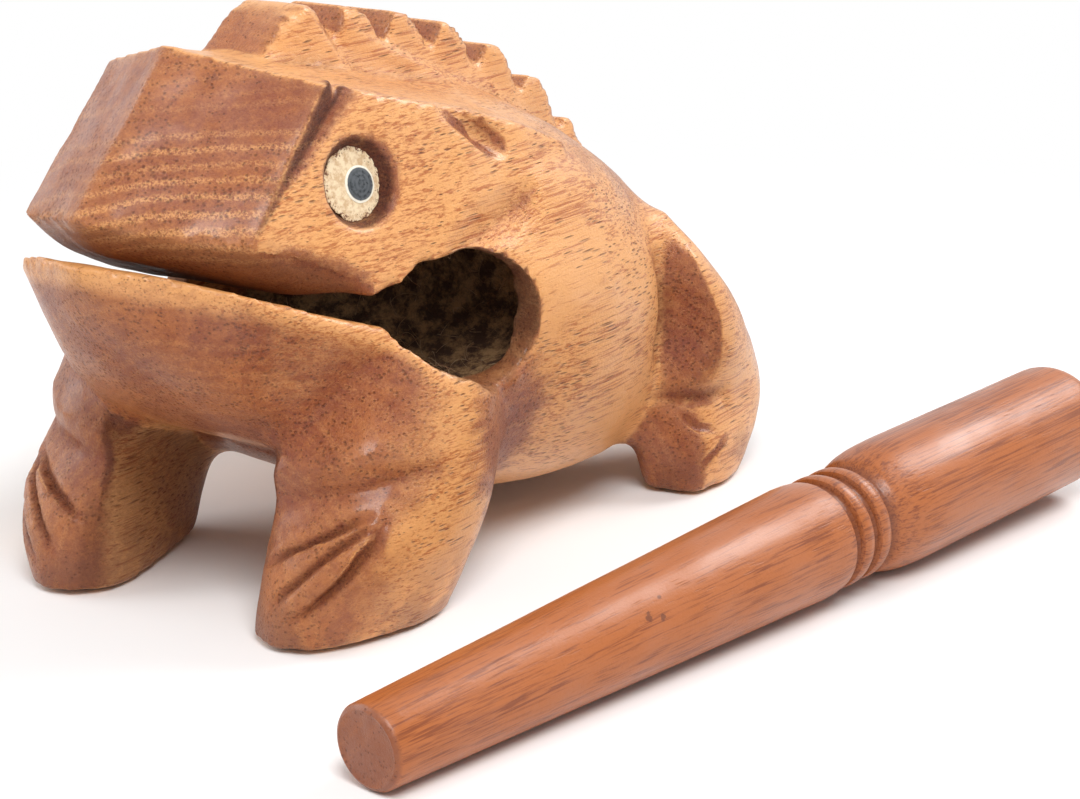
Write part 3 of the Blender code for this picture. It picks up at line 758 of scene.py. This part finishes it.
def eye_mask(local):
    """1 on the wall and floor of the eyes' recesses."""
    x, y, z = local.T
    away = np.stack([np.abs(x), y, z], axis=1) - np.array(EYE)
    depth = away @ np.array(CHEEK)
    radius = np.linalg.norm(away - depth[:, None] * np.array(CHEEK), axis=1)
    return ramp(radius, EYE_RADIUS + 0.4, EYE_RADIUS - 0.2) * ramp(depth, -0.3, -0.9)


def notch_axes():
    """Directions of the left snout notch as columns: up its length, across its top, and outward."""
    return np.array([NOTCH_TOP - NOTCH_TIP, NOTCH_BACK - NOTCH_TOP, CHEEK]).T


def notch_line():
    """Points on the solid along where the notch's root will be, on both sides."""
    along, across, out = (Vector(column) for column in notch_axes().T)
    height = -SOLID_NOTCH_DEPTH * (1 - NOTCH_ROOT) / (1 - SOLID_NOTCH_ROOT)
    line = []
    for k in range(1, 56):
        spot = NOTCH_TIP + (along + across * NOTCH_ROOT + out * height) * (k / 50)
        line += [spot, Vector((-spot.x, spot.y, spot.z))]
    return line


def cut_notch(local, normals):
    """Moves the points of both snout notches onto a clean V. Gives the points, and masks of its two walls."""
    flip = np.where(local[:, :1] < 0, (-1.0, 1.0, 1.0), (1.0, 1.0, 1.0))
    axes = notch_axes()
    along, across, out = np.linalg.solve(axes, (local * flip - np.array(NOTCH_TIP)).T)
    share = across / np.maximum(along, 0.02)
    slope = np.where(share < NOTCH_ROOT, share / NOTCH_ROOT, (1 - share) / (1 - NOTCH_ROOT))
    floor = -NOTCH_DEPTH * along * slope
    in_notch = (along > 0.02) & (along < 1.3) & (share > 0) & (share < 1)
    in_notch &= (out < 1.5) & (out > -1.2 * SOLID_NOTCH_DEPTH * along)
    moved = in_notch & ((out > floor) | (normals[:, 2] < 0.75))
    out = np.where(moved, floor, out)
    spots = (axes @ np.stack([along, across, out])).T + np.array(NOTCH_TIP)
    in_front = share < NOTCH_ROOT * 0.97
    return spots * flip, (moved & in_front).astype(float), (moved & ~in_front).astype(float)


def limb_mask(local):
    """1 on the limbs and the belly, which are rounded by hand far more than the faceted head."""
    x, y, z = local.T
    from_hole = np.hypot(y - HOLE_Y, z - HOLE_Z)
    top = LIMB_TOP + HIND_LEG_RISE * ramp(y, 16.0, 24.0) * ramp(np.abs(x), 20.0, 25.0)
    return ramp(z, top, top - 8.0) * ramp(from_hole, HOLE_RADIUS + 1.0, HOLE_RADIUS + 4.0)


def shaded_inner_leg_mask(local, normals):
    """1 on the inner sides of the front legs, which painted shade darkens."""
    x, y, z = local.T
    inward = ramp(-np.sign(x) * normals[:, 0], 0.3, 0.7) * (np.abs(x) > 8.0)
    return inward * ramp(z, 38.0, 30.0) * ramp(y, -12.0, -18.0)


def gold_mask(local):
    """1 in the golden band under the edge of the lower lip."""
    _, y, z = local.T
    below = np.interp(y, *zip(*LOWER_LIP)) - z
    band = ramp(below, LIP_BAND, LIP_BAND - 1.8) * (below > -2.0)
    return band * ramp(y, -24.0, -28.0)


def roof_mask(local, normals):
    """1 on the mouth's roof."""
    _, y, z = local.T
    above = z > np.interp(y, *zip(*LOWER_LIP)) + 2.0
    return (normals[:, 2] < -0.5) * above * ramp(y, -27.0, -33.0)


def highest(*masks):
    """The highest of the masks at each point."""
    return np.maximum.reduce(masks)


def carve_frog():
    """Fine mesh of the frog with rounded edges, the unevenness of hand work, and rough grooves."""
    solid = welded_copy("frog_body")
    edge_tree = sharp_tree(solid)
    work = bmesh.new()
    work.from_mesh(solid)
    surface = BVHTree.FromBMesh(work)
    work.free()
    lines = cut_lines(surface)
    cut_places = [*np.concatenate([line for line, *_ in lines]), *notch_line()]
    cut_tree = point_tree([in_frame(place) for place in cut_places])
    mesh = fine_block(solid, edge_tree, lambda place: cut_tree.find(place)[2] < CUT_REACH * MM)
    points = rows_of(mesh.vertices, "co", 3).astype(float)
    edges = rows_of(mesh.edges, "vertices", 2, np.int32)
    # Spread evenly and back onto the solid, with the points that are nearest to an edge on the edge itself
    near = np.empty(len(points))
    for _ in range(SPREAD_ROUNDS):
        points = smooth(points, edges, 2, 0.5)
        for i, place in enumerate(points):
            found, _, distance = edge_tree.find(place)
            near[i] = distance / MM
            points[i] = found if distance < EDGE_SNAP * MM else surface.find_nearest(place)[0]
    set_points(mesh, points)
    local = (points - np.array(FROG)) / MM
    normals = normals_of(mesh)
    depths, reds = cut_depths(local, lines)
    facing_masks = (roof_mask, hollow_mask, hole_wall, shaded_inner_leg_mask)
    roof, inside, wall, shaded_inner_legs = (mask(local, normals) for mask in facing_masks)
    eyes, gold, limbs = (mask(local) for mask in (eye_mask, gold_mask, limb_mask))
    local, notch_front, notch_back = cut_notch(local, normals)
    points = local * MM + np.array(FROG)
    points[:, 2] -= ROOF_DROP * MM * roof * ramp(near, 0.5, 0.5 + ROOF_BEVEL)
    # Facets melt away from the edges, the limbs get round, and the edges are rounded as by sandpaper
    loose = np.maximum(ramp(near, 0.6, 3.6), 0.04)
    points = smooth(points, edges, FACET_ROUNDS, MELT * loose[:, None])
    points = smooth(points, edges, LIMB_ROUNDS, MELT * limbs[:, None])
    points = smooth(points, edges, SANDING_ROUNDS, 0.5)
    set_points(mesh, points)
    points = points - normals_of(mesh) * (depths * MM)[:, None]
    points = smooth(points, edges, 2, 0.4)
    set_points(mesh, points)
    # Grooves and creases, from the bend of the surface before it gets uneven
    normals = normals_of(mesh)
    bend = ((points - neighbour_mean(points, edges)) * normals).sum(axis=1) / MM
    fine = smooth(bend[:, None], edges, 2)[:, 0]
    broad = smooth(bend[:, None], edges, 12)[:, 0]
    worn = np.clip(fine * 5.0 + broad * 8.0, 0, 1)
    # Concave creases darken the colour through this mask: painted shade
    hollow = np.clip(-fine * 5.0 - broad * 9.0 - 0.05, 0, 1)
    # The notch's front wall gets painted shade, and both its walls are redder
    notches = np.stack([notch_front, notch_front + notch_back], axis=1)
    shaded_notch_wall, both_walls = smooth(notches, edges, 2).T
    # Painted shade on the hole's wall, strongest on its upper part
    shaded_upper_wall = wall * np.maximum(ramp(local[:, 2], 33.0, 40.0), 0.1)
    # Painted shade on the middle of the mouth's roof
    shaded_roof = roof * ramp(near, 0.0, 2.0)
    # Darker eye recesses together with the painted shade
    eye_recess_and_shade = highest(0.85 * eyes, 0.5 * shaded_roof, 0.75 * shaded_upper_wall, 0.9 * shaded_notch_wall, 0.55 * shaded_inner_legs)
    hollow = highest(hollow, 0.6 * eyes, np.clip(depths * reds * 1.2, 0, 0.9))
    flank = np.linalg.norm((local[:, 1:] - FLANK_RED) / FLANK_RED_REACH, axis=1)
    flank_red = ramp(flank, 1.5, 0.5) * (np.abs(local[:, 0]) > 24.0)
    reds = highest(reds, 0.8 * both_walls, roof, 0.75 * flank_red)
    push = np.empty(len(points))
    for i, place in enumerate(local):
        at = Vector(place)
        wave = noise.noise(at * 0.07) + 0.45 * noise.noise(at * 0.2 + Vector((7.0, 3.0, 1.0)))
        rough = noise.noise(Vector((at.x * 0.9, at.y * 0.45, at.z * 0.9)))
        push[i] = HAND_WAVE * wave + GOUGE_ROUGHNESS * rough * (hollow[i] + inside[i])
    points = points + normals * (push * MM)[:, None]
    points = np.clip(points, np.array(FROG_LOW), np.array(FROG_HIGH))
    set_points(mesh, points)
    masks = {"worn": worn, "hollow": hollow, "inside": inside, "red": reds, "gold": gold, "eye_recess_and_shade": eye_recess_and_shade}
    masks["fuzz"] = np.clip(inside - 0.3, 0, 1)
    for name, values in masks.items():
        keep_mask(mesh, name, values)
    mesh.shade_smooth()
    return mesh


# Stick


def stick_profile():
    """(y, radius) points from the scraping end to the end of the handle, in mm."""
    handle = STICK_LENGTH - STICK_HANDLE_LENGTH
    groove = STICK_NECK_RADIUS - STICK_GROOVE_DEPTH
    bead = groove + STICK_GROOVE_DEPTH * 0.8
    lip = groove + STICK_GROOVE_DEPTH * 0.12
    first = handle - 2 * STICK_BEAD_WIDTH
    shaft_end = first - STICK_NECK_SLOPE
    points = [(0.0, STICK_END_RADIUS - STICK_END_BEVEL), (0.25, STICK_END_RADIUS - 0.35)]
    points.append((STICK_END_BEVEL, STICK_END_RADIUS))
    for k in range(1, 40):
        share = k / 40
        y = STICK_END_BEVEL + (shaft_end - STICK_END_BEVEL) * share
        points.append((y, STICK_END_RADIUS + (STICK_NECK_RADIUS - STICK_END_RADIUS) * share))
    points += [(shaft_end, STICK_NECK_RADIUS), (shaft_end + 2.0, STICK_NECK_RADIUS - 0.06)]
    points.append((first - 2 * STICK_GROOVE_HALF_WIDTH, bead))
    for i in range(3):
        middle = first + i * STICK_BEAD_WIDTH
        points += [(middle - STICK_GROOVE_HALF_WIDTH, lip), (middle, groove)]
        points.append((middle + STICK_GROOVE_HALF_WIDTH, lip))
        if i < 2:
            top = bead + 0.05
            for share, height in ((0.24, 0.75), (0.35, 0.96), (0.5, 1.0), (0.65, 0.96), (0.76, 0.75)):
                points.append((middle + STICK_BEAD_WIDTH * share, lip + (top - lip) * height))
    for share, height in ((0.12, 0.0), (0.25, 0.3), (0.42, 0.65), (0.6, 0.85), (0.8, 0.95), (1.0, 1.0)):
        points.append((handle + STICK_HANDLE_FLARE * share, bead + (STICK_HANDLE_RADIUS - bead) * height))
    straight = STICK_LENGTH - STICK_ROUNDING
    start = handle + STICK_HANDLE_FLARE
    points += [(start + (straight - start) * k / 16, STICK_HANDLE_RADIUS) for k in range(1, 16)]
    for k in range(13):
        angle = math.radians(90 * k / 13)
        y = STICK_LENGTH - STICK_ROUNDING * (1 - math.sin(angle))
        points.append((y, STICK_HANDLE_RADIUS - STICK_ROUNDING * (1 - math.cos(angle))))
    return points


def stick_place():
    """Matrix from the stick's own mm frame, whose axis is Y, to the shared frame."""
    lying_length = STICK_LENGTH - STICK_HANDLE_LENGTH + STICK_HANDLE_FLARE
    rise = math.asin((STICK_HANDLE_RADIUS - STICK_END_RADIUS) / lying_length)
    start = Vector((*STICK_NEAR_END, STICK_END_RADIUS * math.cos(rise)))
    turn = Matrix.Rotation(-STICK_HEADING, 4, "Z") @ Matrix.Rotation(rise, 4, "X")
    return Matrix.Translation(in_frame(start)) @ turn @ Matrix.Scale(MM, 4)


def turned_stick(matrix):
    """The stick as turned on a lathe by hand: even round, with a slightly wavering outline."""
    profile = stick_profile()
    vertices, ends, grooves = [], [], []
    groove_radius = STICK_NECK_RADIUS - STICK_GROOVE_DEPTH
    bead_radius = groove_radius + STICK_GROOVE_DEPTH * 0.8
    beads = STICK_LENGTH - STICK_HANDLE_LENGTH - 2 * STICK_BEAD_WIDTH - 2.0
    for y, radius in profile:
        for k in range(STICK_SIDES):
            angle = math.tau * k / STICK_SIDES
            waver = noise.noise(Vector((math.cos(angle) * 0.7, y * 0.045, math.sin(angle) * 0.7)))
            r = radius - STICK_WAVER - STICK_WAVER * waver
            vertices.append((r * math.cos(angle), y, r * math.sin(angle)))
            ends.append(1.0 if y < STICK_END_BEVEL * 0.5 else 0.0)
            in_beads = beads < y < STICK_LENGTH - STICK_HANDLE_LENGTH + 2.0
            grooves.append(max(0.0, (bead_radius - 0.35 - radius) / 0.7) if in_beads else 0.0)
    last = (len(profile) - 1) * STICK_SIDES
    faces = []
    for row in range(0, last, STICK_SIDES):
        faces += ring_faces(row, row + STICK_SIDES, STICK_SIDES)
    # The flat sawn end and the rounded end of the handle close on rings that shrink to a middle point
    sawn_end = (0, 0.0, profile[0][1], 1.0)
    round_end = (last, STICK_LENGTH, profile[-1][1], 0.0)
    for ring, y, radius, end in (sawn_end, round_end):
        for share in (0.93, 0.75, 0.5, 0.25):
            here = len(vertices)
            for k in range(STICK_SIDES):
                angle = math.tau * k / STICK_SIDES
                spot = Vector((math.cos(angle) * share * 3, 9.0, math.sin(angle) * share * 3))
                inward = 0.1 + 0.1 * noise.noise(spot) if end else 0.02
                r = (radius - STICK_WAVER) * share
                place_y = y + inward if end else y - inward * 0.2
                vertices.append((r * math.cos(angle), place_y, r * math.sin(angle)))
                ends.append(end)
                grooves.append(0.0)
            faces += ring_faces(ring, here, STICK_SIDES)
            ring = here
        vertices.append((0.0, y + (0.1 if end else -0.004), 0.0))
        ends.append(end)
        grooves.append(0.0)
        faces += fan_faces(ring, len(vertices) - 1, STICK_SIDES)
    mesh = closed_mesh("turned_stick", [tuple(matrix @ Vector(v)) for v in vertices], faces)
    keep_mask(mesh, "end", ends)
    keep_mask(mesh, "groove", np.clip(grooves, 0, 1))
    mesh.shade_smooth()
    mesh.set_sharp_from_angle(angle=math.radians(40.0))
    return mesh


# Eyes


def eye_axes(side):
    """The eye's middle, its outward direction and two along the cheek, for the left (1) or right (-1) eye."""
    flip = Vector((side, 1, 1))
    out = Vector(a * b for a, b in zip(CHEEK, flip))
    middle = Vector(a * b for a, b in zip(EYE, flip))
    across = out.cross(Vector((0, 0, 1))).normalized()
    return middle, out, across, out.cross(across)


def eye_disc(name, side, radius, depth, dome, ragged, seed, shift=Vector((0.0, 0.0, 0.0))):
    """A thin domed disc in the eye's recess, closed at the back. The edge may be ragged."""
    middle, out, across, up = eye_axes(side)
    middle = middle + shift - out * shift.dot(out)
    turns, shares = 96, (1.0, 0.985, 0.96, 0.92, 0.85, 0.72, 0.55, 0.36, 0.18)
    vertices, rims, faces = [], [], []

    def place(share, angle, height):
        edge = 1.0 + ragged * noise.noise(Vector((math.cos(angle) * 2.6, math.sin(angle) * 2.6, seed)))
        edge += 0.5 * ragged * noise.noise(Vector((math.cos(angle) * 7, math.sin(angle) * 7, seed + 4)))
        r = radius * share * edge
        spot = middle + (across * math.cos(angle) + up * math.sin(angle)) * r + out * (height - depth)
        return tuple(in_frame(spot))

    heights = [dome * (1 - share**2) + (0.0 if share == 1.0 else 0.12) for share in shares]
    for share, height in zip(shares, heights):
        for k in range(turns):
            vertices.append(place(share, math.tau * k / turns, height))
            rims.append(share)
    last = (len(shares) - 1) * turns
    for row in range(0, last, turns):
        faces += ring_faces(row, row + turns, turns)
    for ring, height, rim in ((last, dome + 0.12, 0.0), (0, -0.6, 1.0)):
        vertices.append(place(0.0, 0.0, height))
        rims.append(rim)
        faces += fan_faces(ring, len(vertices) - 1, turns)
    mesh = closed_mesh(name, vertices, faces)
    keep_mask(mesh, "rim", rims)
    mesh.shade_smooth()
    mesh.set_sharp_from_angle(angle=math.radians(50.0))
    return mesh


# Loose fibres


def fibre_tree(material):
    """Geometry nodes that grow bent fibres on a mesh, as thickly as its fuzz value says."""
    tree = bpy.data.node_groups.new("loose_fibres", "GeometryNodeTree")
    tree.interface.new_socket("Geometry", in_out="INPUT", socket_type="NodeSocketGeometry")
    for label, value in (("Density", 90000.0), ("Length", 0.0045), ("Thickness", 0.00005)):
        tree.interface.new_socket(label, in_out="INPUT", socket_type="NodeSocketFloat").default_value = value
    tree.interface.new_socket("Seed", in_out="INPUT", socket_type="NodeSocketInt").default_value = 4
    tree.interface.new_socket("Geometry", in_out="OUTPUT", socket_type="NodeSocketGeometry")
    given, result = tree.nodes.new("NodeGroupInput").outputs, tree.nodes.new("NodeGroupOutput")
    fuzz = add(tree, "GeometryNodeInputNamedAttribute", {"Name": "fuzz"}, data_type="FLOAT")
    density = times(tree, fuzz.outputs["Attribute"], given["Density"])
    scatter = {"Mesh": given["Geometry"], "Density": density, "Seed": given["Seed"]}
    spread = add(tree, "GeometryNodeDistributePointsOnFaces", scatter)
    bent = []
    for along, aside in ((0.0, 0.0), (0.75, 0.1), (0.55, 0.8)):
        corner = add(tree, "ShaderNodeCombineXYZ", {"X": aside, "Y": aside * 0.4, "Z": along}).outputs[0]
        stretch = {0: corner, "Scale": given["Length"]}
        bent.append(add(tree, "ShaderNodeVectorMath", stretch, operation="SCALE").outputs[0])
    stops = {"Resolution": 5, **dict(zip(("Start", "Middle", "End"), bent))}
    strand = add(tree, "GeometryNodeCurveQuadraticBezier", stops).outputs["Curve"]
    turns = {0: (-0.7, -0.7, -3.1), 1: (0.7, 0.7, 3.1), "Seed": 11}
    turn = add(tree, "FunctionNodeRandomValue", turns, data_type="FLOAT_VECTOR").outputs[0]
    turned = {"Rotation": spread.outputs["Rotation"], "Rotate By": turn}
    rotation = add(tree, "FunctionNodeRotateRotation", turned, rotation_space="LOCAL").outputs[0]
    size = add(tree, "FunctionNodeRandomValue", {2: 0.35, 3: 1.4, "Seed": 5}, data_type="FLOAT").outputs[1]
    copies = {"Points": spread.outputs["Points"], "Instance": strand, "Rotation": rotation, "Scale": size}
    placed = add(tree, "GeometryNodeInstanceOnPoints", copies).outputs[0]
    lines = add(tree, "GeometryNodeRealizeInstances", {"Geometry": placed}).outputs[0]
    section = {"Resolution": 3, "Radius": given["Thickness"]}
    ring = add(tree, "GeometryNodeCurvePrimitiveCircle", section).outputs["Curve"]
    tube = {"Curve": lines, "Profile Curve": ring, "Fill Caps": True}
    tubes = add(tree, "GeometryNodeCurveToMesh", tube).outputs[0]
    real = add(tree, "GeometryNodeRealizeInstances", {"Geometry": tubes}).outputs[0]
    dressed = add(tree, "GeometryNodeSetMaterial", {"Geometry": real, "Material": material}).outputs[0]
    tree.links.new(dressed, result.inputs[0])
    return tree


def loose_fibres(carved, material):
    """The fibres and lint in the frog's hollow, as one plain mesh."""
    bed = linked("fibre_bed", carved.copy())
    grown = bed.modifiers.new("fibres", "NODES")
    grown.node_group = fibre_tree(material)
    return plain_mesh(bed, "hollow_fibres")


# Stage


def stage():
    """Pale floor that keeps the shadow and shows as white, the lamps and the camera."""
    scene = bpy.context.scene
    material, tree, shader = new_material("floor_paper")
    fill(tree, shader, {"Base Color": (0.93, 0.93, 0.93, 1.0), "Roughness": 0.9})
    # White paper far from the object, for the camera only
    on_floor = add(tree, "ShaderNodeTexCoord").outputs["Object"]
    seen_directly = add(tree, "ShaderNodeLightPath").outputs["Is Camera Ray"]
    white = times(tree, span(tree, length(tree, on_floor), PAPER_FROM, PAPER_TO), seen_directly)
    paper = add(tree, "ShaderNodeEmission", {"Color": (1.0, 1.0, 1.0, 1.0), "Strength": 1.0})
    mixed = add(tree, "ShaderNodeMixShader", {0: white, 1: shader.outputs[0], 2: paper.outputs[0]})
    tree.links.new(mixed.outputs[0], tree.nodes["Material Output"].inputs["Surface"])
    mesh = bpy.data.meshes.new("floor")
    corners = [(x * FLOOR_HALF, y * FLOOR_HALF, 0) for x, y in ((-1, -1), (1, -1), (1, 1), (-1, 1))]
    mesh.from_pydata(corners, [], [(0, 1, 2, 3)])
    mesh.materials.append(material)
    linked("floor", mesh)

    world = bpy.data.worlds.new("studio")
    scene.world = world
    world.use_nodes = True
    sky = world.node_tree
    path = add(sky, "ShaderNodeLightPath").outputs
    mirrored = maths(sky, "MAXIMUM", path["Is Glossy Ray"], path["Is Transmission Ray"])
    seen = maths(sky, "MAXIMUM", path["Is Camera Ray"], mirrored)
    lit = (SKY_LIGHT, SKY_LIGHT, SKY_LIGHT, 1.0)
    sky.links.new(blend(sky, seen, lit, (1.0, 1.0, 1.0, 1.0)), sky.nodes["Background"].inputs["Color"])

    for name, place, size, power in LAMPS:
        light = bpy.data.lights.new(name, "AREA")
        light.shape = "DISK"
        light.size = size
        light.energy = power
        lamp = bpy.data.objects.new(name, light)
        lamp.location = in_frame(place)
        lamp.rotation_euler = (in_frame(LAMP_TARGET) - lamp.location).to_track_quat("-Z", "Y").to_euler()
        scene.collection.objects.link(lamp)

    lens = bpy.data.cameras.new("camera")
    lens.lens = CAMERA_LENS
    lens.sensor_width = 36.0
    lens.clip_start = 0.01
    camera = bpy.data.objects.new("camera", lens)
    scene.collection.objects.link(camera)
    camera.location = in_frame(CAMERA_PLACE)
    camera.rotation_euler = (math.pi / 2 - CAMERA_TILT, 0.0, CAMERA_TURN)
    scene.camera = camera
    scene.view_settings.view_transform = "Standard"


stage()
timber, varnish, knot = timber_group(), varnish_group(), knot_group()
frog_mesh = carve_frog()
fibre_mesh = loose_fibres(frog_mesh, fibre_wood())
shown("carved_frog", frog_mesh, carved_wood(timber, varnish, knot), "frog_body")
shown("hollow_fibres", fibre_mesh, bpy.data.materials["fibre_wood"])
stick_matrix = stick_place()
stick_wood = turned_wood(timber, varnish, knot, stick_matrix.to_translation(), tuple(stick_matrix.to_euler()))
shown("turned_stick", turned_stick(stick_matrix), stick_wood, "scraper_stick")
cream, slate = eye_paint(), pupil_paint()
for label, side in (("left", 1), ("right", -1)):
    eye, pupil = f"{label}_eye", f"{label}_pupil"
    paint = eye_disc(eye, side, PAINT_RADIUS, PAINT_DEPTH, dome=0.0, ragged=0.08, seed=2.0 + side)
    shown(eye, paint, cream)
    depth, seed = PAINT_DEPTH - 0.1, 8.0 + side
    paint = eye_disc(pupil, side, PUPIL_RADIUS, depth, dome=0.35, ragged=0.015, seed=seed, shift=PUPIL_SHIFT)
    shown(pupil, paint, slate)
